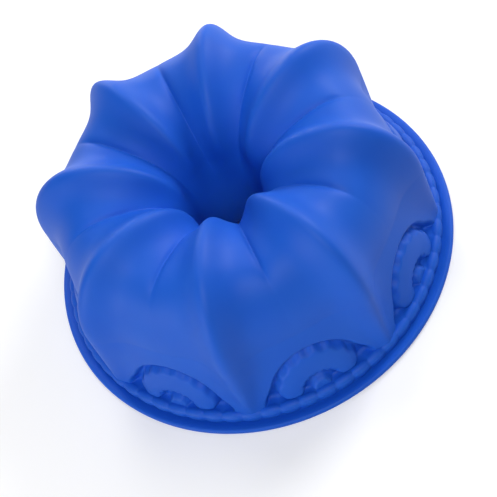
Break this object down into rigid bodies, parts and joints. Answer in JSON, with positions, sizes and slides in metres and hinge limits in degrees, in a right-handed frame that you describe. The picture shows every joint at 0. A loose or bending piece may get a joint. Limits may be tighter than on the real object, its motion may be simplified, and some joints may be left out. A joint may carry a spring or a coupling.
{
  "type": "cake mould",
  "caption": "Ring cake mould in one-piece silicone: fluted petals with a garland relief, a beaded border, a flat rim flange and an open centre tube.",
  "frame": {"origin": "centre of the rim's underside, on the surface that the mould stands on", "axes": "+Z along the centre tube, from the rim to the crown; +X through the middle of petal_1"},
  "size_m": [0.23, 0.23, 0.101],
  "materials": {
    "silicone": "satin moulded silicone"
  },
  "bodies": {
    "root": {"rim_flange": "silicone", "bead_border": "silicone", "petal_1": "silicone", "petal_2": "silicone", "petal_3": "silicone", "petal_4": "silicone", "petal_5": "silicone", "petal_6": "silicone", "petal_7": "silicone", "petal_8": "silicone", "centre_tube": "silicone"}
  },
  "joints": []
}
